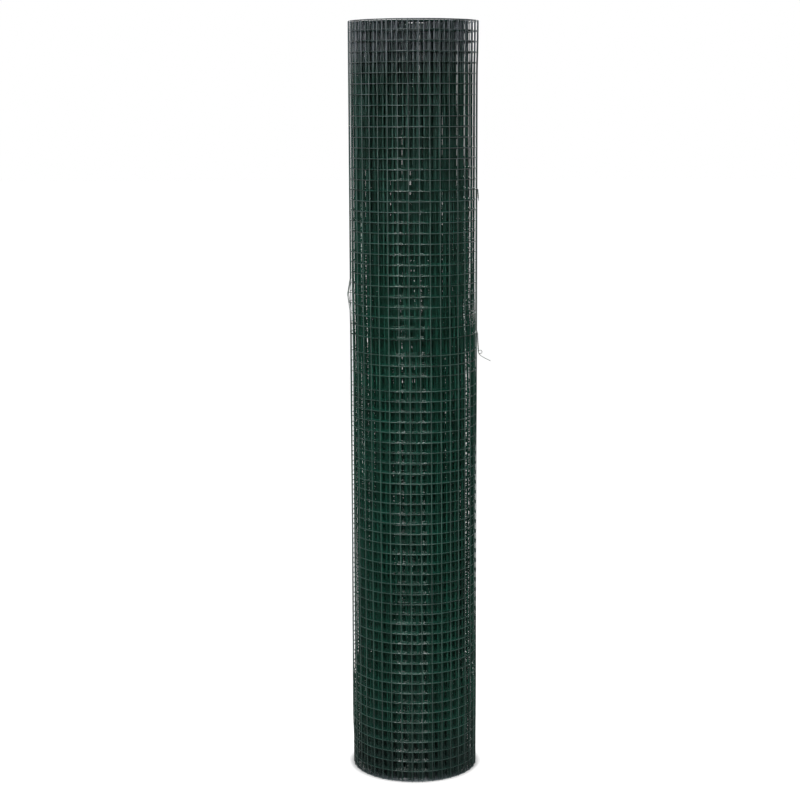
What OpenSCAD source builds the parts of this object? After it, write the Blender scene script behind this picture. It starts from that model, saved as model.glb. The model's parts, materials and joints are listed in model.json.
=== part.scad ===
// Roll of welded wire mesh fencing, standing on its end.
// Sizes are in millimetres. The origin is on the roll's axis at its lower end, and +Z points up.

/* [Sheet] */
// Length of the sheet that is rolled up
sheet_length = 10000; // [5000:500:25000]
// Width of the sheet, which is the height of the standing roll
sheet_width = 1000; // [500:50:1200]
// Diameter of the coated wire
wire_d = 1.05; // [0.8:0.05:1.6]
// Spacing of the mesh from wire to wire
mesh_pitch = 13.5; // [8:0.5:26]

/* [Roll] */
// Diameter of the open middle of the roll
bore_d = 51; // [30:1:100]
// Space from one turn's end wire to the next turn's
turn_gap = 0.95; // [0.6:0.05:2]
// Chamfer on the end wires
end_chamfer = 0.2; // [0.1:0.05:0.35]

/* [Ties] */
// Diameter of the tie wire
tie_d = 0.8; // [0.5:0.1:1.4]
// Gap between a tie and the outer turn
tie_clearance = 0.2; // [0.1:0.05:0.5]
// Gap between the two strands of a twist
strand_gap = 0.06; // [0.03:0.01:0.2]
// Radius of the bend from a tie's loop into its twist
tie_bend_r = 2.4; // [2:0.1:4]
// Distance of the upper tie from the upper end
upper_tie_drop = 215.7; // [60:0.1:220]
// Length of the upper tie's twist
upper_twist_length = 11; // [8:0.5:30]
// Whole turns of the upper tie's twist
upper_twist_turns = 2; // [1:1:4]
// Length of each cut end of the upper tie
upper_end_length = 3; // [2:0.5:8]
// Distance from the upper tie down to the middle tie
tie_spacing = 189; // [60:0.5:190]
// Length of the middle tie's twist
middle_twist_length = 25; // [16:0.5:40]
// Whole turns of the middle tie's twist
middle_twist_turns = 4; // [2:1:6]
// Angle at which a twist stands off the roll
twist_lean = 3; // [1:0.5:10]
// Radius of the eye at the end of the middle tie
eye_r = 2.4; // [1.8:0.1:5]
// How far the middle tie's tail reaches outward
tail_reach = 16.5; // [8:0.5:30]
// How far the middle tie's tail drops
tail_drop = 12.5; // [8:0.5:30]

/* [Hidden] */
bore_r = bore_d / 2;
turn_pitch = wire_d + turn_gap;
roll_r = sqrt(bore_r * bore_r + sheet_length * turn_pitch / PI);
turns = floor((roll_r - bore_r) / turn_pitch);
ring_step = (roll_r - bore_r - wire_d) / (turns - 1);
end_depth = mesh_pitch - wire_d;
tie_sides = 8;
ring_parts = 72;
twist_parts = 9;
bend_parts = 5;
tie_r = (roll_r + tie_clearance + tie_d / 2) / cos(180 / ring_parts);
strand_r = (tie_d + strand_gap) / 2;
twist_x = roll_r + tie_clearance + tie_d / 2 + strand_r;
bend_angle = asin((tie_bend_r + strand_r) / tie_r);

// One turn's end wire at the lower end of the section, from the inside outward
function lower_end(i) =
  let (a = bore_r + i * ring_step, b = a + wire_d)
  [
    if (i > 0) [a, end_depth],
    [a, end_chamfer],
    [a + end_chamfer, 0],
    [b - end_chamfer, 0],
    [b, end_chamfer],
    if (i < turns - 1) [b, end_depth]
  ];

// The same end wire at the upper end of the section, from the outside inward
function upper_end(i) =
  let (p = lower_end(i))
  [for (k = [len(p) - 1:-1:0]) [p[k][0], sheet_width - p[k][1]]];

function unit(v) = v / norm(v);

function backward(p) = [for (k = [len(p) - 1:-1:0]) p[k]];

// Points of a curve from a to d that leaves toward b and arrives from c, without its first point
function curve(a, b, c, d, n) =
  [
    for (i = [1:n])
      let (t = i / n, u = 1 - t)
        u * u * u * a + 3 * u * u * t * b + 3 * u * t * t * c + t * t * t * d
  ];

// One strand of a twist, from the top down, beside the roll on its +X side
function strand(top, length, whole_turns, phase) =
  let (n = whole_turns * twist_parts)
  [
    for (i = [0:n])
      let (q = i / n, a = phase + 360 * whole_turns * q)
        [
          twist_x + tan(twist_lean) * length * q + strand_r * cos(a),
          strand_r * sin(a),
          top - length * q
        ]
  ];

// A tie's loop around the roll, open where its twist begins
function loop_round(z) =
  [
    for (i = [0:ring_parts])
      let (a = bend_angle + (360 - 2 * bend_angle) * i / ring_parts)
        [tie_r * cos(a), tie_r * sin(a), z]
  ];

// The whole path of a tie, with the ends that are given
function tie_path(z, length, whole_turns, front_end, back_end) =
  let (
    top = z - tie_bend_r,
    front = strand(top, length, whole_turns, -90),
    back = strand(top, length, whole_turns, 90),
    ring = loop_round(z),
    last = len(ring) - 1,
    k = tie_bend_r * 0.55,
    up_back = back[0] + k * unit(back[0] - back[1]),
    up_front = front[0] + k * unit(front[0] - front[1]),
    ring_in = ring[0] - k * unit(ring[1] - ring[0]),
    ring_out = ring[last] + k * unit(ring[last] - ring[last - 1])
  )
  concat(
    backward(back_end),
    backward(back),
    curve(back[0], up_back, ring_in, ring[0], bend_parts),
    [for (i = [1:last]) ring[i]],
    curve(ring[last], ring_out, up_front, front[0], bend_parts),
    [for (i = [1:len(front) - 1]) front[i]],
    front_end
  );

// Where a strand with the given side, -1 for the front and 1 for the back, leaves the twist
function strand_foot(z, length, side) =
  [twist_x + tan(twist_lean) * length, side * strand_r, z - tie_bend_r - length];

// A short cut end that parts from the other strand
function cut_end(foot, side, length) =
  [for (i = [1:3]) foot + length * i / 3 * unit([0.25, side * 0.22, -1])];

// An end that is curled into an eye
function eye_end(foot) =
  [
    for (i = [1:13])
      let (a = 180 + 315 * i / 13)
        foot + [eye_r + eye_r * cos(a), -(tie_d + strand_gap) * i / 13, eye_r * sin(a)]
  ];

// An end that runs outward and down as a tail
function tail_end(foot) =
  let (tip = foot + [tail_reach, tie_d, -tail_drop])
  curve(foot, foot + [0, 0, -tail_drop * 0.4], tip - [tail_reach * 0.5, 0, -tail_drop * 0.35], tip, 8);

// A round wire along a path
module wire(path, d) {
  n = len(path);
  ways = [for (i = [0:n - 1]) unit(path[min(i + 1, n - 1)] - path[max(i - 1, 0)])];
  first = unit(cross(ways[0], [0.3, 1, 0.2]));
  sides = [
    for (
      i = 0, s = first;
      i < n;
      i = i + 1, s = i < n ? unit(s - (s * ways[i]) * ways[i]) : s
    ) s
  ];
  points = [
    for (i = [0:n - 1])
      let (u = sides[i], v = cross(ways[i], u))
        for (k = [0:tie_sides - 1])
          let (a = 360 * k / tie_sides)
            path[i] + d / 2 * (cos(a) * u + sin(a) * v)
  ];
  skin = [
    for (i = [0:n - 2])
      for (k = [0:tie_sides - 1])
        let (p = i * tie_sides + k, q = i * tie_sides + (k + 1) % tie_sides)
          each [[p, p + tie_sides, q], [q, p + tie_sides, q + tie_sides]]
  ];
  start_cap = [for (k = [0:tie_sides - 1]) k];
  end_cap = [for (k = [tie_sides - 1:-1:0]) (n - 1) * tie_sides + k];
  polyhedron(points = points, faces = concat(skin, [start_cap, end_cap]));
}

// The rolled sheet: a turned solid with its bore, its turns standing free at both ends
module mesh_roll() {
  outline = concat(
    [for (i = [0:turns - 1]) each lower_end(i)],
    [for (i = [turns - 1:-1:0]) each upper_end(i)]
  );
  color("darkgreen")
    rotate_extrude($fn = 128)
      polygon(outline);
}

// The upper tie, with two short cut ends
module upper_tie() {
  z = sheet_width - upper_tie_drop;
  front_foot = strand_foot(z, upper_twist_length, -1);
  back_foot = strand_foot(z, upper_twist_length, 1);
  path = tie_path(
    z,
    upper_twist_length,
    upper_twist_turns,
    cut_end(front_foot, -1, upper_end_length),
    cut_end(back_foot, 1, upper_end_length)
  );
  color("darkgreen")
    wire(path, tie_d);
}

// The middle tie, with an eye on one end and a loose tail on the other
module middle_tie() {
  z = sheet_width - upper_tie_drop - tie_spacing;
  front_foot = strand_foot(z, middle_twist_length, -1);
  back_foot = strand_foot(z, middle_twist_length, 1);
  path = tie_path(
    z,
    middle_twist_length,
    middle_twist_turns,
    eye_end(front_foot),
    tail_end(back_foot)
  );
  color("darkgreen")
    wire(path, tie_d);
}

mesh_roll();
upper_tie();
middle_tie();
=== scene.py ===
# %% [markdown]
# # A roll of welded wire fencing
# The object is one sheet of green coated, square welded mesh, rolled up and stood on its end.
# Thin wires are tied round it so that it cannot spring open.
# The solids of the frame give the sizes: the roll's height, its outer radius and its bore.
# The lesson rolls up a flat sheet of wires by one formula, so that every wire is really there.

# %% Load the frame
import json
import math
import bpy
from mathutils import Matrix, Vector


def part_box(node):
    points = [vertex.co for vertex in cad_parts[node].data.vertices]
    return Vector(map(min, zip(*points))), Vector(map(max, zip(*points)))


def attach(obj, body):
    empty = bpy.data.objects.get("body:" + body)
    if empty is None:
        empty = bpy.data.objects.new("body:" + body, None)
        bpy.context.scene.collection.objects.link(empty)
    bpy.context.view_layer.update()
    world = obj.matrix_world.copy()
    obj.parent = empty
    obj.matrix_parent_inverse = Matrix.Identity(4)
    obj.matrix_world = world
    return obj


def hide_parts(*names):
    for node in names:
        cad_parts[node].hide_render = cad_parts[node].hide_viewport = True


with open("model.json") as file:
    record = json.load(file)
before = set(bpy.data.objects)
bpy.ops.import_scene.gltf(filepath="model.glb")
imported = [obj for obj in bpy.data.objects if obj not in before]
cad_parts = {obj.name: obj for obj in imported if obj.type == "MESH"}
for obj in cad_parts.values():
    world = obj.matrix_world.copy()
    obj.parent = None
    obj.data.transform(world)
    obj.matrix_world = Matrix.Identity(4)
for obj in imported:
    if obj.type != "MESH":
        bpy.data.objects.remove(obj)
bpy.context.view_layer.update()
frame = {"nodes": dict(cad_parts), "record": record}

from types import SimpleNamespace

import bpy
from mathutils import Matrix, Vector

MM = 0.001

roll_low, roll_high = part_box("mesh_roll")
roll_height = roll_high.z - roll_low.z
roll_radius = (roll_high.x - roll_low.x) / 2
mounts = {mount["name"]: mount for mount in frame["record"]["mounts"]}
bore_radius = mounts["bore"]["dims"]["r_mm"] * MM
print(f"roll {roll_height:.3f} m high, radius {roll_radius:.4f} m, bore radius {bore_radius:.4f} m")

# %% [markdown]
# ## Expressions instead of wiring
# A node tree can be wired by hand, socket by socket, but then a formula is hard to read.
# Here one small class wraps an output socket, and Python's operators add the Math nodes.
# One method adds any other node: its type, its settings, then the values or links of its sockets.
# Shader trees and geometry trees share the same Math node, so one class serves both.

# %% A socket that can stand in an expression
class Value:
    """An output socket that Python's operators work on."""

    def __init__(self, tree, socket):
        self.tree = tree
        self.socket = socket

    def math(self, operation, *others):
        return self.tree.math(operation, self, *others)

    def __add__(self, other):
        return self.math("ADD", other)

    __radd__ = __add__

    def __mul__(self, other):
        return self.math("MULTIPLY", other)

    __rmul__ = __mul__

    def __sub__(self, other):
        return self.math("SUBTRACT", other)

    def __rsub__(self, other):
        return self.tree.math("SUBTRACT", other, self)

    def __truediv__(self, other):
        return self.math("DIVIDE", other)

    def __rtruediv__(self, other):
        return self.tree.math("DIVIDE", other, self)

    def __gt__(self, other):
        return self.math("GREATER_THAN", other)

    def __lt__(self, other):
        return self.math("LESS_THAN", other)

    def __abs__(self):
        return self.math("ABSOLUTE")


print("operators work on sockets")

# %% A tree that is written down node by node
def pick(sockets, key):
    """The socket with that number, identifier or name."""
    if isinstance(key, int):
        return sockets[key]
    for socket in sockets:
        if socket.identifier == key:
            return socket
    return sockets[key]


class Tree:
    """A node tree with one method for any node, and short ones for the nodes that it needs most."""

    def __init__(self, node_tree):
        self.nodes = node_tree.nodes
        self.links = node_tree.links

    def node(self, kind, settings=None, sockets=None, out=0):
        made = self.nodes.new(kind)
        for key, setting in (settings or {}).items():
            setattr(made, key, setting)
        for key, given in (sockets or {}).items():
            target = pick(made.inputs, key)
            if isinstance(given, Value):
                self.links.new(given.socket, target)
            else:
                target.default_value = given
        return Value(self, pick(made.outputs, out)) if made.outputs else made

    def math(self, operation, *terms):
        return self.node("ShaderNodeMath", {"operation": operation}, dict(enumerate(terms)))

    def smooth(self, value, start, end, low=0.0, high=1.0):
        """Goes from low to high in a smooth step while value goes from start to end."""
        limits = {"From Min": start, "From Max": end, "To Min": low, "To Max": high}
        settings = {"interpolation_type": "SMOOTHSTEP"}
        return self.node("ShaderNodeMapRange", settings, {"Value": value, **limits})

    def noise(self, vector, scale, detail, out="Fac"):
        sizes = {"Scale": scale, "Detail": detail}
        return self.node("ShaderNodeTexNoise", {}, {"Vector": vector, **sizes}, out)

    def vector(self, x=0.0, y=0.0, z=0.0):
        return self.node("ShaderNodeCombineXYZ", {}, {"X": x, "Y": y, "Z": z})

    def xyz(self, vector):
        """The three parts of a vector."""
        return [self.node("ShaderNodeSeparateXYZ", {}, {"Vector": vector}, axis) for axis in "XYZ"]


print("trees are written with:", [name for name in vars(Tree) if not name.startswith("_")])

# %% [markdown]
# ## White all round
# The photograph shows a dark roll on pure white. A bright white room would give that too, but it
# would wash the roll out with light. So white has a strength of 1 only where it is seen: straight,
# in a reflection or through glass. The light that it sheds on the roll is set apart, and weaker.

# %% World
AMBIENT = 0.16

scene = bpy.context.scene
scene.view_settings.view_transform = "Standard"


def seen_directly(tree, mirrored=1.0):
    """1 for what is seen straight or through glass, mirrored in a reflection, else 0."""
    rays = ("Is Camera Ray", "Is Glossy Ray", "Is Transmission Ray")
    straight, glossy, through = [tree.node("ShaderNodeLightPath", {}, {}, ray) for ray in rays]
    return straight.math("MAXIMUM", (glossy * mirrored).math("MAXIMUM", through))


world = bpy.data.worlds.new("studio")
scene.world = world
world.use_nodes = True
world.node_tree.nodes.clear()
tree = Tree(world.node_tree)
strength = seen_directly(tree) * (1.0 - AMBIENT) + AMBIENT
white = tree.node("ShaderNodeBackground", {}, {"Color": (1, 1, 1, 1), "Strength": strength})
tree.node("ShaderNodeOutputWorld", {}, {"Surface": white})
print(f"world: white where it is seen, {AMBIENT} as light")

# %% [markdown]
# ## The floor
# The roll stands on a plain floor, of which the photograph shows nothing but white. A white floor
# would throw much light up at the roll. This one is grey, and glows for the camera by what it lacks
# to white, so the roll's shadow still shows on it. Under the roll it doesn't glow.

# %% Floor
FLOOR_SIDE = 40.0
FLOOR_SHADE = 0.5
FLOOR_WHITE = 1.02
FLOOR_GLOW = FLOOR_WHITE - FLOOR_SHADE * AMBIENT
FLOOR_MIRRORED = 0.2
GLOW_EDGE = (roll_radius - 6 * MM, roll_radius + 14 * MM)


def grey(shade):
    return (shade, shade, shade, 1)


def new_material(name):
    """An empty material, and the tree to write it in."""
    material = bpy.data.materials.new(name)
    material.use_nodes = True
    material.node_tree.nodes.clear()
    return material, Tree(material.node_tree)


def add_mesh(name, points, faces, material):
    """An object of points and faces, with one material."""
    mesh = bpy.data.meshes.new(name)
    mesh.from_pydata(points, [], faces)
    mesh.materials.append(material)
    shown = bpy.data.objects.new(name, mesh)
    scene.collection.objects.link(shown)
    return shown


floor_material, tree = new_material("pale_floor")
matt = tree.node("ShaderNodeBsdfDiffuse", {}, {"Color": grey(FLOOR_SHADE)})
across, back, _ = tree.xyz(tree.node("ShaderNodeTexCoord", {}, {}, "Object"))
off_axis = (across * across + back * back).math("SQRT")
open_floor = tree.smooth(off_axis, *GLOW_EDGE)
glow_strength = seen_directly(tree, FLOOR_MIRRORED) * open_floor * FLOOR_GLOW
glow = tree.node("ShaderNodeEmission", {}, {"Strength": glow_strength})
both = tree.node("ShaderNodeAddShader", {}, {0: matt, 1: glow})
tree.node("ShaderNodeOutputMaterial", {}, {"Surface": both})

half = FLOOR_SIDE / 2
corners = [(-half, -half, 0), (half, -half, 0), (half, half, 0), (-half, half, 0)]
floor = add_mesh("floor", corners, [(0, 1, 2, 3)], floor_material)
print(f"floor {FLOOR_SIDE:.0f} m wide, with a glow of {FLOOR_GLOW:.2f}")

# %% [markdown]
# ## A dark cloth overhead
# Glossy wires mirror all that is round them, and in a white room their upper sides would turn white.
# A weaker world would darken the whole roll. A studio hangs up a dark cloth instead, and here it is
# a dome that only reflections see, so that it takes no other light from the roll.

# %% Cloth
CLOTH_SHADE = 0.02
CLOTH_RADIUS = 5.0
CLOTH_LIFTS = (0.15, 0.4, 0.7, 1.0, 1.4)
CLOTH_STEP = 10

arc = [(CLOTH_RADIUS * math.cos(lift), CLOTH_RADIUS * math.sin(lift)) for lift in CLOTH_LIFTS]
turns = [math.radians(azimuth) for azimuth in range(-180, 181, CLOTH_STEP)]
points = [
    (reach * math.sin(turn), -reach * math.cos(turn), level)
    for reach, level in arc
    for turn in turns
]
wide = len(turns)
faces = [
    (row * wide + k, row * wide + k + 1, (row + 1) * wide + k + 1, (row + 1) * wide + k)
    for row in range(len(arc) - 1)
    for k in range(wide - 1)
]
cloth_material, tree = new_material("dark_ceiling")
cloth = tree.node("ShaderNodeBsdfDiffuse", {}, {"Color": grey(CLOTH_SHADE)})
tree.node("ShaderNodeOutputMaterial", {}, {"Surface": cloth})
screen = add_mesh("dark_ceiling", points, faces, cloth_material)
for ray in ("camera", "diffuse", "transmission", "volume_scatter", "shadow"):
    setattr(screen, "visible_" + ray, False)
print(f"dark cloth of {len(faces)} faces, {CLOTH_RADIUS:.0f} m away")

# %% [markdown]
# ## The lamps
# The photograph shows two bright streaks down the lower half of the roll. Two lamps in front and
# above draw them, and a weaker one between joins them up. Wide lamps fill the sides and the upper
# end, and one stands behind for views from there. A point lamp would make hard dots on the wires.
# A square one is as soft as a studio's, and a narrow spread keeps it to its part of the roll.

# %% Lamps
KEY = {"distance": 1.8, "height": 1.65, "side": 0.5, "aim": 0.2, "spread": 40}
FILL = {"distance": 2.6, "height": 1.3, "side": 0.8, "aim": 0.95, "spread": 48}
UPPER = {"distance": 2.6, "height": 1.5, "side": 0.8, "aim": 1.0, "spread": 24}
BACK = {"distance": 2.6, "height": 1.3, "side": 0.8, "aim": 0.5, "spread": 180}


def add_lamp(name, azimuth, watts, distance, height, side, aim, spread):
    """A lamp that looks at a height of the roll. Azimuth 0 is in front, and 90 on the right."""
    angle = math.radians(azimuth)
    place = Vector((distance * math.sin(angle), -distance * math.cos(angle), height))
    lamp = bpy.data.lights.new(name, "AREA")
    lamp.shape = "SQUARE"
    lamp.size = side
    lamp.energy = watts
    lamp.spread = math.radians(spread)
    shown = bpy.data.objects.new(name, lamp)
    facing = (Vector((0, 0, aim)) - place).to_track_quat("-Z", "Y")
    shown.matrix_world = Matrix.Translation(place) @ facing.to_matrix().to_4x4()
    scene.collection.objects.link(shown)


add_lamp("left_key", azimuth=-30, watts=1.6, **KEY)
add_lamp("middle_key", azimuth=-5, watts=0.5, **KEY)
add_lamp("right_key", azimuth=20.5, watts=1.5, **KEY)
add_lamp("left_fill", azimuth=-16, watts=0.44, **FILL)
add_lamp("right_fill", azimuth=10, watts=0.36, **FILL)
add_lamp("upper_fill", azimuth=-25, watts=1.1, **UPPER)
add_lamp("back_fill", azimuth=178, watts=22, **BACK)
print("studio lamps:", [lamp.name for lamp in bpy.data.lights])

# %% [markdown]
# ## The camera
# The photograph was taken a little below the roll's upper end, so the rim shows as a flat arc there
# and as a deep one at the floor. A camera can be set by eye, but the mesh rows are a ruler: how fast
# they shrink downward gives the lens and the distance.

# %% Camera
PICTURE = 800
FOCAL_PIXELS = 1820.9
SENSOR = 36.0
CAMERA_PLACE = Vector((-0.0184, -2.4025, 0.890))
CAMERA_PITCH = math.radians(-9.143)
CAMERA_ROLL = math.radians(-0.2)

camera_data = bpy.data.cameras.new("camera")
camera_data.sensor_width = SENSOR
camera_data.lens = FOCAL_PIXELS / PICTURE * SENSOR
camera = bpy.data.objects.new("camera", camera_data)
upright = Matrix.Rotation(math.radians(90) + CAMERA_PITCH, 4, "X")
tipped = Matrix.Rotation(CAMERA_ROLL, 4, "Z")
camera.matrix_world = Matrix.Translation(CAMERA_PLACE) @ upright @ tipped
scene.collection.objects.link(camera)
scene.camera = camera
print(f"camera lens {camera_data.lens:.1f} mm at {tuple(round(c, 3) for c in CAMERA_PLACE)}")

# %% [markdown]
# ## The green coat
# The wire is steel in a coat of dark green plastic. The outer turn is dull with dust, which also
# paints it paler than the shaded turns under it, and those still shine. Pale dust lies at the upper
# end, and it also paints the brighter light there. The foot is darker with painted shade, and its
# rim is paler where it stands. Each kind of wire could have a material of its own, but they'd
# repeat each other.
# So one function lays the layers over the green, and what differs between wires is passed in.

# %% Layers of the coat
# Dust on the outer turn, which also paints that turn paler than the shaded turns inside.
DUST_AND_LIGHT = (0.11, 0.135, 0.135, 1)
PALE = (0.18, 0.19, 0.22, 1)
# Painted shade, darker towards the foot where the floor shades the roll.
PAINTED_FOOT_SHADE = (0.010, 0.017, 0.017, 1)
GRAIN = {"scale": 900.0, "detail": 2.0}
GRAIN_BUMP = {"Strength": 0.1, "Distance": 0.4 * MM}
GRAIN_SPAN = (0.2, 0.8)
DUST_AND_LIGHT_LEAST = 0.4
# Pale dust at the upper end, which also paints the brighter light there, more on the lighter wires.
UPPER_DUST_AND_LIGHT_HEIGHTS = (0.6, 0.95)
UPPER_HEIGHTS = (0.92, 0.98)
UPPER_DUST_AND_LIGHT_SPAN = (0.35, 0.65)
UPPER_DUST_AND_LIGHT_LEAST = 0.15
FOOT_SHADE_HEIGHTS = (0.09, 0.02)
# A paler rim at the very foot.
PALE_RIM_HEIGHTS = (2.5 * MM, 1.0 * MM)
PALE_RIM = 0.3
SHADE_SPAN = (0.3, 0.7)
GLAZE_SPAN = (0.25, 0.75)
GLAZE_ROUGHNESS = (0.18, 0.26)
DUST_ROUGHNESS = 0.4
SETTLED_ROUGHNESS = 0.1


def mix_colour(tree, factor, first, second):
    sockets = {"Factor_Float": factor, "A_Color": first, "B_Color": second}
    return tree.node("ShaderNodeMix", {"data_type": "RGBA"}, sockets, "Result_Color")


def green_coat(name, shades, shade_of_place, gloss, dust_and_light_share, settled_dust_and_light, upper, foot_shade_share):
    """Green plastic between two shades, under dust that also paints light, all over and above, with
    painted shade at the foot and a paler rim.
    """
    material, tree = new_material(name)
    place = tree.node("ShaderNodeTexCoord", {}, {}, "Object")
    height = tree.xyz(place)[2]
    shade = shade_of_place(tree, place)
    grain = tree.noise(place, **GRAIN)
    # Dust on the outer turn, which also paints it paler than the shaded turns inside.
    dust_and_light = tree.smooth(grain, *GRAIN_SPAN, DUST_AND_LIGHT_LEAST * dust_and_light_share, dust_and_light_share)
    # Pale dust at the upper end, which also paints the brighter light there.
    upper_dust_and_light = tree.smooth(height, *UPPER_DUST_AND_LIGHT_HEIGHTS, 0.0, settled_dust_and_light)
    upper_dust_and_light = upper_dust_and_light + tree.smooth(height, *UPPER_HEIGHTS, 0.0, upper)
    upper_dust_and_light = upper_dust_and_light * tree.smooth(shade, *UPPER_DUST_AND_LIGHT_SPAN, UPPER_DUST_AND_LIGHT_LEAST, 1.0)
    # Painted shade, darker towards the foot.
    foot_shade = tree.smooth(height, *FOOT_SHADE_HEIGHTS, 0.0, foot_shade_share)
    # A paler rim at the very foot.
    pale_rim = tree.smooth(height, *PALE_RIM_HEIGHTS, 0.0, PALE_RIM)
    colour = mix_colour(tree, tree.smooth(shade, *SHADE_SPAN), *shades)
    for share, layer in ((dust_and_light, DUST_AND_LIGHT), (upper_dust_and_light, PALE), (foot_shade, PAINTED_FOOT_SHADE), (pale_rim, PALE)):
        colour = mix_colour(tree, share, colour, layer)
    glaze = tree.smooth(shade, *GLAZE_SPAN, *GLAZE_ROUGHNESS)
    roughness = glaze + dust_and_light * DUST_ROUGHNESS + upper_dust_and_light * SETTLED_ROUGHNESS
    bump = tree.node("ShaderNodeBump", {}, {**GRAIN_BUMP, "Height": grain})
    looks = {"Base Color": colour, "Roughness": roughness, "Normal": bump}
    looks["Specular IOR Level"] = gloss
    shader = tree.node("ShaderNodeBsdfPrincipled", {}, looks)
    tree.node("ShaderNodeOutputMaterial", {}, {"Surface": shader})
    return material


print("the coat has a green base and four layers")

# %% [markdown]
# ## Four coats
# Line wires change their shade slowly along their length. Each cross wire has a shade of its own, so
# that the eye can tell one upright wire from the next. A random colour for each wire would need a
# mark on each wire's mesh. Noise that is squeezed along the wires does the same without one.

# %% Coats of the wires
BLOTCHES = {"scale": 28.0, "detail": 3.0}
STREAKS = {"scale": 700.0, "detail": 1.0}
STREAK_SQUEEZE = 0.03
LINE_SHADES = ((0.003, 0.03, 0.019, 1), (0.005, 0.053, 0.035, 1))
CROSS_SHADES = ((0.003, 0.026, 0.016, 1), (0.011, 0.072, 0.048, 1))


def blotches(tree, place):
    """A shade that changes slowly along a wire."""
    return tree.noise(place, **BLOTCHES)


def streaks(tree, place):
    """A shade that changes from one upright wire to the next, and little along it."""
    across, back, height = tree.xyz(place)
    return tree.noise(tree.vector(across, back, height * STREAK_SQUEEZE), **STREAKS)


line_coat = green_coat(
    "line_wire_coat", LINE_SHADES, blotches,
    gloss=0.7, dust_and_light_share=0.0, settled_dust_and_light=0.05, upper=0.3, foot_shade_share=0.65,
)
# The outer turn's coats carry dust, which also paints that turn paler than the shaded turns inside.
dust_and_light_line_coat = green_coat(
    "dust_and_light_line_wire_coat", LINE_SHADES, blotches,
    gloss=0.52, dust_and_light_share=0.24, settled_dust_and_light=0.34, upper=0.1, foot_shade_share=0.2,
)
cross_coat = green_coat(
    "cross_wire_coat", CROSS_SHADES, streaks,
    gloss=0.3, dust_and_light_share=0.0, settled_dust_and_light=0.14, upper=0.8, foot_shade_share=0.65,
)
dust_and_light_cross_coat = green_coat(
    "dust_and_light_cross_wire_coat", CROSS_SHADES, streaks,
    gloss=0.4, dust_and_light_share=0.42, settled_dust_and_light=0.25, upper=0.7, foot_shade_share=0.5,
)
print("coats:", [made.name for made in (line_coat, dust_and_light_line_coat, cross_coat, dust_and_light_cross_coat)])

# %% [markdown]
# ## The sheet as it is wound
# The sheet starts at the bore and winds outward, each turn lying on the one before, so the core is
# a spiral with a fixed pitch: two crossed wires, less what the weld presses them into each other.
# The last turns sit more loosely, as a spiral with a wider pitch. A spiral's length grows with the
# difference of its squared radii, so the sheet's whole length settles where the one meets the other.

# %% Sizes of the sheet
WIRE = 1.05 * MM
WELD_SINK = 0.2 * MM
MESH = 13.5 * MM
SHEET_LENGTH = 10.0
LOOSE_TURNS = 3.0
BORE_GAP = 0.05 * MM
END_RISE = 0.6 * MM
FREE_END = math.radians(127.7)
WHOLE_TURN = 2 * math.pi

turn_pitch = 2 * WIRE - WELD_SINK
cross_depth = WIRE - WELD_SINK
first_radius = bore_radius + WIRE / 2 + cross_depth + BORE_GAP
outer_radius = roll_radius - WIRE / 2 + END_RISE


def meeting_radius():
    """Radius where the tight turns end, from the length of both spirals together."""
    a = math.pi / turn_pitch
    b = math.pi * LOOSE_TURNS
    c = b * outer_radius - a * first_radius**2 - SHEET_LENGTH
    return (math.sqrt(b * b - 4 * a * c) - b) / (2 * a)


core_radius = meeting_radius()
loose_pitch = (outer_radius - core_radius) / LOOSE_TURNS
tight_length = math.pi * (core_radius**2 - first_radius**2) / turn_pitch
tight_turns = (core_radius - first_radius) / turn_pitch
start_angle = FREE_END - WHOLE_TURN * (tight_turns + LOOSE_TURNS)
print(f"{tight_turns:.1f} tight turns to a radius of {core_radius / MM:.1f} mm")
print(f"{LOOSE_TURNS:.1f} loose turns at {loose_pitch / MM:.2f} mm a turn")

# %% [markdown]
# ## The even spiral
# A point of the flat sheet has a length along it, a depth below it and a height. The next steps turn
# those three numbers into a place in the roll. A modifier could bend a finished sheet, but it knows
# nothing of turns that lie on each other. A formula does. Both sets of wires go through the same
# one, so they stay welded to each other whatever it does. It begins with the spiral as it would be
# if it were even, and how firmly each turn is held: 1 in the core, and 0 at the free end.

# %% A point of the sheet on the even spiral
def wind(tree):
    """A point of the sheet, with all that the later steps use of it."""
    along, depth, height = tree.xyz(tree.node("GeometryNodeInputPosition"))
    tight = along.math("MINIMUM", tight_length)
    loose = (along - tight_length).math("MAXIMUM", 0.0)
    inner = (tight * (turn_pitch / math.pi) + first_radius**2).math("SQRT")
    outer = (loose * (loose_pitch / math.pi) + core_radius**2).math("SQRT")
    loose_turn = (outer - core_radius) / loose_pitch
    turned = (inner - first_radius) * (WHOLE_TURN / turn_pitch) + loose_turn * WHOLE_TURN
    return SimpleNamespace(
        tree=tree,
        along=along,
        depth=depth,
        height=height,
        inner=inner,
        outer=outer,
        angle=turned + start_angle,
        loose_turn=loose_turn,
        last_turn=(loose_turn - (LOOSE_TURNS - 1)).math("MAXIMUM", 0.0),
        held=1.0 - loose_turn / LOOSE_TURNS,
    )


print(f"the spiral starts at {math.degrees(start_angle):.1f} degrees")

# %% [markdown]
# ## Unevenness without a rule
# No two turns of a real roll lie alike. A random move for each wire would tear the welds apart. Slow
# noise over the flat sheet moves what is welded together, and fixed seeds keep it the same each
# time. One slow noise gives three numbers: how far turns stand out, slip and shift up or down.
# A quicker one stirs the core.

# %% Noise over the sheet
WAVES = (4.0, 2.5)
WAVE_SEED = 0.0
CORE_WAVES = (4.0, 12.0)
CORE_SEED = 8.6
NOISE_MEAN = 0.5


def sheet_noise(point, rates, seed, out):
    """Noise that changes at one rate along the sheet and at another up it."""
    along_rate, height_rate = rates
    place = point.tree.vector(point.along * along_rate, point.height * height_rate, seed)
    return point.tree.noise(place, scale=1.0, detail=1.0, out=out)


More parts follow.
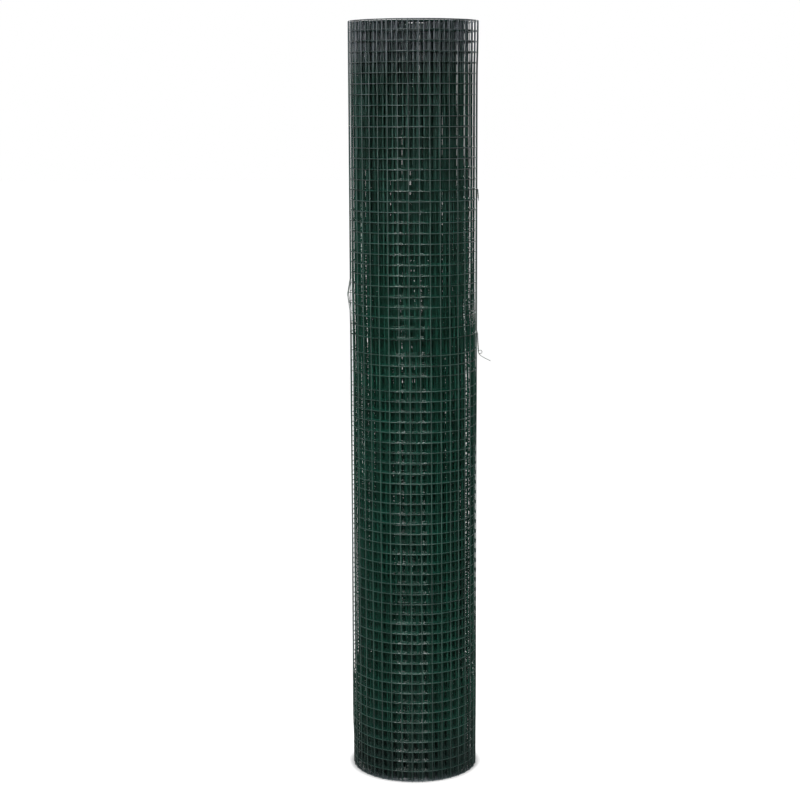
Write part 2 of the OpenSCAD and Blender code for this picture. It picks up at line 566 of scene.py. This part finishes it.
def add_noise(point):
    """Adds the waves at a point, and how much the core is stirred there."""
    slow = point.tree.xyz(sheet_noise(point, WAVES, WAVE_SEED, "Color"))
    point.out_wave, point.slip_wave, point.row_wave = [part - NOISE_MEAN for part in slow]
    point.sag = sheet_noise(point, CORE_WAVES, CORE_SEED, "Fac")
    point.stir = point.sag - NOISE_MEAN


print(f"waves along and up the sheet: {WAVES} a metre, in the core {CORE_WAVES}")

# %% [markdown]
# ## Lean and swell
# Through the outer turn, the photograph shows that the core isn't straight. It leans to the left
# above and to the right below, and swells towards the floor. It could be bent as a mesh of its own,
# but as terms of the formula its wires stay one with the turns outside, where both terms fade out.

# %% The core
LEAN_ABOVE = -2.4 * MM
LEAN_BELOW = 1.2 * MM
LEAN_HEIGHTS = (0.52, 0.68)
SWELL_ABOVE = -0.3 * MM
SWELL_BELOW = 1.5 * MM
SWELL_FOOT = 3.0 * MM
FOOT_HEIGHTS = (0.12, 0.16)


def add_zones(point):
    """Adds 1 for a point in the lower part of the roll, and 1 for one above its foot."""
    point.lower = point.tree.smooth(point.height, *reversed(LEAN_HEIGHTS))
    point.above_foot = point.tree.smooth(point.height, *FOOT_HEIGHTS)


def core_lean(point):
    """How far to the right the core leans."""
    return (point.lower * (LEAN_BELOW - LEAN_ABOVE) + LEAN_ABOVE) * point.held


def core_swell(point):
    """How far the core swells."""
    swell = point.lower * (SWELL_BELOW - SWELL_ABOVE) + SWELL_ABOVE
    swell = swell + (1.0 - point.above_foot) * SWELL_FOOT
    return swell * point.held * point.inner / core_radius


print(f"the core leans by {LEAN_ABOVE / MM:.1f} mm above and {LEAN_BELOW / MM:.1f} mm below")

# %% [markdown]
# ## The outer turns
# The last turn climbs off the one under it soon after it begins, not evenly all the way round.
# It bows out on the left, flares at the upper end on the right, and one wire has sprung out on the
# left. Such places could be pulled out by hand, point by point. Here each is a smooth step over a
# stretch of height or angle, so that a change of one number moves it.

# %% Terms of the outer turns
RISE_WITHIN = 0.35
RISE_EARLY = 0.65
RISE_HEIGHTS = (0.04, 0.07)
TIGHT_WAVE = 0.5 * MM
LOOSE_WAVE = 1.5 * MM
BOW = 0.5 * MM
BUMP = 3.8 * MM
BUMP_HEIGHT = 0.642
BUMP_REACH = 0.022
BUMP_SIDE = (0.97, 0.995)
FLARE = 1.0 * MM
FLARE_HEIGHTS = (0.93, 0.98)


def early_rise(point):
    """How much sooner the last turn climbs than an even spiral would."""
    rise = point.tree.smooth(point.last_turn, 0.0, RISE_WITHIN) - point.last_turn
    return rise * (loose_pitch * RISE_EARLY) * point.tree.smooth(point.height, *RISE_HEIGHTS)


def turn_wave(point):
    """The slow wave of the turns, most of it between the core and the free end."""
    return point.out_wave * (point.held * (1.0 - point.held) * (4 * LOOSE_WAVE) + TIGHT_WAVE)


def left_bow(point):
    """The bow on the left, with the wire that has sprung out of the last turn."""
    left = (point.angle.math("SINE") * -1.0).math("MAXIMUM", 0.0)
    bow = left * left * (1.0 - point.held) * point.lower * point.above_foot * BOW
    bump = point.tree.smooth(abs(point.height - BUMP_HEIGHT), BUMP_REACH, 0.0, 0.0, BUMP)
    bump = bump * point.tree.smooth(left, *BUMP_SIDE)
    return bow + bump * (point.last_turn > 0.0)


def upper_flare(point):
    """The flare on the right at the upper end."""
    right = point.angle.math("SINE").math("MAXIMUM", 0.0)
    return point.tree.smooth(point.height, *FLARE_HEIGHTS, 0.0, FLARE) * (1.0 - point.held) * right


print(f"one wire has sprung out by {BUMP / MM:.1f} mm at {BUMP_HEIGHT} m")

# %% [markdown]
# ## The pull of the ties
# Each tie holds the outer turn in at its height. Moving the turn in by a fixed amount would leave it
# uneven under the tie. A limit on the radius, which is lowest at the ties, acts as the wire does.

# %% The limit that the ties set
TIE_HEIGHTS = (0.5953, 0.7843)
TIE_PULL = 0.03
TIE_SLACK = 0.2 * MM

free_limit = outer_radius + BUMP
tied_limit = roll_radius - WIRE / 2 + TIE_SLACK


def tie_limit(point):
    """The furthest from the axis that a point can be."""
    limit = free_limit
    for tie_height in TIE_HEIGHTS:
        off_tie = abs(point.height - tie_height)
        limit = limit - point.tree.smooth(off_tie, TIE_PULL, 0.0, 0.0, free_limit - tied_limit)
    return limit


print(f"limit {free_limit / MM:.2f} mm, and {tied_limit / MM:.2f} mm at the ties")

# %% [markdown]
# ## Slip
# On a roll whose wires all lay behind each other, one could look right through it. A real sheet is
# wound with a little slip, and its turns cover each other's gaps. Slip by the golden share of a cell
# at each turn does that best, as it never repeats. Waves are added, and the whole sheet is sheared.

# %% How far the turns slip
GOLDEN_SHARE = (3 - math.sqrt(5)) / 2
SLIP = 3.0 * MM
LAST_SLIP = 0.08 * SLIP
CORE_SLIP = 3.0 * MM
SHEAR = math.radians(-2.2)


def slip_per_turn(pitch):
    """Slip that sets each turn's cross wires off from the last turn's by the golden share."""
    overshoot = WHOLE_TURN * pitch / MESH + GOLDEN_SHARE
    return (round(overshoot) - overshoot) * MESH


tight_slip = slip_per_turn(turn_pitch)
loose_slip = slip_per_turn(loose_pitch)


def turn_slip(point):
    """How far the sheet has slipped along itself."""
    slip = point.slip_wave * point.tree.smooth(point.last_turn, 0.0, RISE_WITHIN, SLIP, LAST_SLIP)
    slip = slip + (point.inner - core_radius) * (tight_slip / turn_pitch)
    slip = slip + (point.loose_turn - LOOSE_TURNS) * loose_slip
    return slip + point.stir * point.held * point.held * CORE_SLIP


print(f"slip a turn: {tight_slip / MM:.2f} mm in the core, {loose_slip / MM:.2f} mm outside it")

# %% [markdown]
# ## Rows up and down
# The rows of the inner turns don't line up with those of the outer turn, so the cells look filled
# with wires. They could be set off by turn, but a real sheet wanders. So waves shift the rows in the
# middle of the height, and leave both ends flush. Only at the upper end has the core slid down.

# %% The level of a row
ROW_WAVE = 2.0 * MM
CORE_ROW_WAVE = 14.0 * MM
TELESCOPE = 4.0 * MM
TELESCOPE_HEIGHTS = (0.9, 1.0)


def row_level(point):
    """The height at which a point ends up."""
    height = point.height
    middle = height * (roll_height - height) * (4 / roll_height**2)
    level = height + point.row_wave * middle * ROW_WAVE
    level = level + point.stir * point.held * middle * CORE_ROW_WAVE
    slid = point.tree.smooth(height, *TELESCOPE_HEIGHTS, 0.0, TELESCOPE)
    return level - slid * point.held * point.sag


print(f"the core slides down by up to {TELESCOPE / MM:.1f} mm")

# %% [markdown]
# ## The group that rolls up a sheet
# A node group holds the whole formula: radius, then angle, then place. Each tree of wires could
# repeat its nodes, but one group that both trees use can't differ between them.

# %% Roll up
def new_group(name, inputs):
    group = bpy.data.node_groups.new(name, "GeometryNodeTree")
    group.interface.new_socket("Geometry", in_out="OUTPUT", socket_type="NodeSocketGeometry")
    for label, kind in inputs.items():
        group.interface.new_socket(label, in_out="INPUT", socket_type="NodeSocket" + kind)
    tree = Tree(group)
    source = group.nodes.new("NodeGroupInput")
    given = {label: Value(tree, source.outputs[label]) for label in inputs}
    return group, tree, given


def end_group(tree, geometry):
    tree.node("NodeGroupOutput", {"is_active_output": True}, {0: geometry})


def make_roll_up():
    group, tree, given = new_group("roll_up_sheet", {"Geometry": "Geometry"})
    point = wind(tree)
    add_noise(point)
    add_zones(point)
    radius = point.inner + point.outer - core_radius
    for term in (early_rise, core_swell, turn_wave, left_bow, upper_flare):
        radius = radius + term(point)
    radius = radius.math("MINIMUM", tie_limit(point)) + point.depth
    shear = (point.height / roll_height - 0.5) * SHEAR
    angle = point.angle + shear + turn_slip(point) / radius
    across = radius * angle.math("SINE") + core_lean(point)
    back = radius * angle.math("COSINE") * -1.0
    rolled = tree.vector(across, back, row_level(point))
    moved = {"Geometry": given["Geometry"], "Position": rolled}
    end_group(tree, tree.node("GeometryNodeSetPosition", {}, moved))
    return group


roll_up = make_roll_up()
print("nodes in the group that rolls up:", len(roll_up.nodes))

# %% [markdown]
# ## Wires from lines
# A wire is a curve with a round profile. A finished flat sheet could be bent by a modifier, but that
# would squash its wires. So a tree lays straight lines out flat, rolls them up, and gives them their
# thickness last.

# %% From lines to wires
def straight_wire(tree, start, end, points):
    line = tree.node("GeometryNodeCurvePrimitiveLine", {}, {"Start": start, "End": end})
    return tree.node("GeometryNodeResampleCurve", {}, {"Curve": line, "Count": points})


def copies(tree, count, place_of_index, wire):
    """Copies of a straight wire at the places that place_of_index gives for each number."""
    points = tree.node("GeometryNodeMeshLine", {}, {"Count": count})
    place = place_of_index(tree.node("GeometryNodeInputIndex"))
    spots = tree.node("GeometryNodeSetPosition", {}, {0: points, "Position": place})
    laid = tree.node("GeometryNodeInstanceOnPoints", {}, {"Points": spots, "Instance": wire})
    return tree.node("GeometryNodeRealizeInstances", {}, {0: laid})


def wires_tree(name, lay_out, inputs):
    """A tree that lays wires out flat by lay_out, rolls them up and thickens them."""
    common = {"Sides": "Int", "Diameter": "Float", "Coat": "Material"}
    group, tree, given = new_group(name, {**inputs, **common})
    flat = lay_out(tree, given)
    rolled = tree.node("GeometryNodeGroup", {"node_tree": roll_up}, {"Geometry": flat})
    ring = {"Resolution": given["Sides"], "Radius": given["Diameter"] * 0.5}
    profile = tree.node("GeometryNodeCurvePrimitiveCircle", {}, ring)
    tube = {"Curve": rolled, "Profile Curve": profile, "Fill Caps": True}
    skin = tree.node("GeometryNodeCurveToMesh", {}, tube)
    skin = tree.node("GeometryNodeSetShadeSmooth", {}, {0: skin, "Shade Smooth": True})
    whole = tree.node("GeometryNodeRealizeInstances", {}, {0: skin})
    end_group(tree, tree.node("GeometryNodeSetMaterial", {}, {0: whole, "Material": given["Coat"]}))
    print(name, "takes", [*inputs, *common])
    return group


print(f"each wire is {WIRE / MM:.2f} mm thick")

# %% [markdown]
# ## Line wires
# Line wires run along the sheet, one for each row of the mesh, on the inner side of the cross wires.
# Their rows could be an array, but they aren't all alike: the photograph shows two wide ones near
# the middle. So each row's drop from the upper end is worked out from its number.

# %% Tree of the line wires
ROWS = 74
FIRST_ROW = 12.7 * MM
WIDE_ROWS = {31: 8.2 * MM, 34: 6.0 * MM}


def lay_line_wires(tree, given):
    start = tree.vector(given["From"], -cross_depth)
    end = tree.vector(given["To"], -cross_depth)
    wire = straight_wire(tree, start, end, given["Points"])

    def row_place(number):
        drop = number * MESH + (FIRST_ROW - MESH)
        for row, extra in WIDE_ROWS.items():
            drop = drop + (number > row - 0.5) * extra
        height = (roll_height - WIRE / 2) - drop.math("MAXIMUM", 0.0)
        return tree.vector(z=height.math("MAXIMUM", WIRE / 2))

    return copies(tree, ROWS, row_place, wire)


line_inputs = {"From": "Float", "To": "Float", "Points": "Int"}
line_tree = wires_tree("line_wires", lay_line_wires, line_inputs)

# %% [markdown]
# ## Cross wires
# Cross wires run from edge to edge of the sheet, and stand upright in the roll. They are all alike
# and evenly spaced, so the tree needs only where they begin and how many there are.

# %% Tree of the cross wires
def lay_cross_wires(tree, given):
    wire = straight_wire(tree, (0, 0, 0), (0, 0, roll_height), given["Points"])

    def column_place(number):
        return tree.vector(given["From"] + number * MESH)

    return copies(tree, given["Count"], column_place, wire)


cross_inputs = {"From": "Float", "Count": "Int", "Points": "Int"}
cross_tree = wires_tree("cross_wires", lay_cross_wires, cross_inputs)

# %% [markdown]
# ## Outer turns fine, inner turns plain
# All the wires together are many, so the turns that show best get the most sides and points. The
# core, which is seen only through them and at the ends, gets fewer. The trees could stay on the
# objects as modifiers, but a plain mesh is what leaves Blender, so each stretch is made into one.

# %% Make a piece
def make_piece(name, group, sizes):
    """Runs a tree with the given inputs and keeps its result as a plain mesh."""
    piece = bpy.data.objects.new(name, bpy.data.meshes.new(name))
    scene.collection.objects.link(piece)
    modifier = piece.modifiers.new(name, "NODES")
    modifier.node_group = group
    for item in group.interface.items_tree:
        if item.in_out == "INPUT":
            modifier[item.identifier] = sizes[item.name]
    grown = piece.evaluated_get(bpy.context.evaluated_depsgraph_get())
    mesh = bpy.data.meshes.new_from_object(grown)
    piece.modifiers.remove(modifier)
    piece.data = mesh
    mesh.name = name
    triangles = sum(len(polygon.vertices) - 2 for polygon in mesh.polygons)
    print(f"{name}: {triangles} triangles")
    return piece


def finish_mesh_piece(piece):
    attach(piece, "root")
    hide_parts("mesh_roll")


print("solids in the frame:", sorted(frame["nodes"]))

# %% Make the line wires
STUB = 3.0 * MM
loose_start = SHEET_LENGTH - 1.5
middle_start = SHEET_LENGTH - 4.0
inner_start = SHEET_LENGTH - 7.2

last_length = WHOLE_TURN * (outer_radius - loose_pitch / 2)
last_start = SHEET_LENGTH - last_length
# Each stretch has its start, its end, the step between its points, its sides and its coat.
line_stretches = {
    "line_wires_outer": (last_start, SHEET_LENGTH + STUB, MESH / 2, 6, dust_and_light_line_coat),
    "line_wires_loose": (loose_start, last_start, MESH / 2, 5, line_coat),
    "line_wires_middle": (middle_start, loose_start, MESH, 5, line_coat),
    "line_wires_inner": (inner_start, middle_start, MESH, 4, line_coat),
    "line_wires_core": (0.0, inner_start, MESH / 1.5, 3, line_coat),
}
for name, (start, end, step, sides, coat) in line_stretches.items():
    sizes = {"From": start, "To": end, "Points": round((end - start) / step) + 1, "Sides": sides}
    finish_mesh_piece(make_piece(name, line_tree, {**sizes, "Diameter": WIRE, "Coat": coat}))

# %% Make the cross wires
LOOSE_COUNT = 76
FINE_POINTS = 49
PLAIN_POINTS = 26

all_count = int(SHEET_LENGTH / MESH)
last_count = int(last_length / MESH) + 1
loose_far = last_count + LOOSE_COUNT
# Each stretch lies between two counts of wires from the free end. Then come points, sides and coat.
cross_stretches = {
    "cross_wires_outer": (last_count, 0, FINE_POINTS, 8, dust_and_light_cross_coat),
    "cross_wires_loose": (loose_far, last_count, FINE_POINTS, 6, cross_coat),
    "cross_wires_core": (all_count, loose_far, PLAIN_POINTS, 6, cross_coat),
}
for name, (far, near, points, sides, coat) in cross_stretches.items():
    start = SHEET_LENGTH - (far - 1) * MESH
    sizes = {"From": start, "Count": far - near, "Points": points, "Sides": sides}
    finish_mesh_piece(make_piece(name, cross_tree, {**sizes, "Diameter": WIRE, "Coat": coat}))

# %% [markdown]
# ## The ties
# Each tie is one thin wire that goes round the roll, with its two ends twisted together.
# The solids already have that shape, so they stay as they are and only get the green coat.

# %% Finish the ties
for name in ("upper_tie", "middle_tie"):
    tie = frame["nodes"][name]
    tie.data.materials.clear()
    tie.data.materials.append(line_coat)
    print(name, "has", line_coat.name)

# %% [markdown]
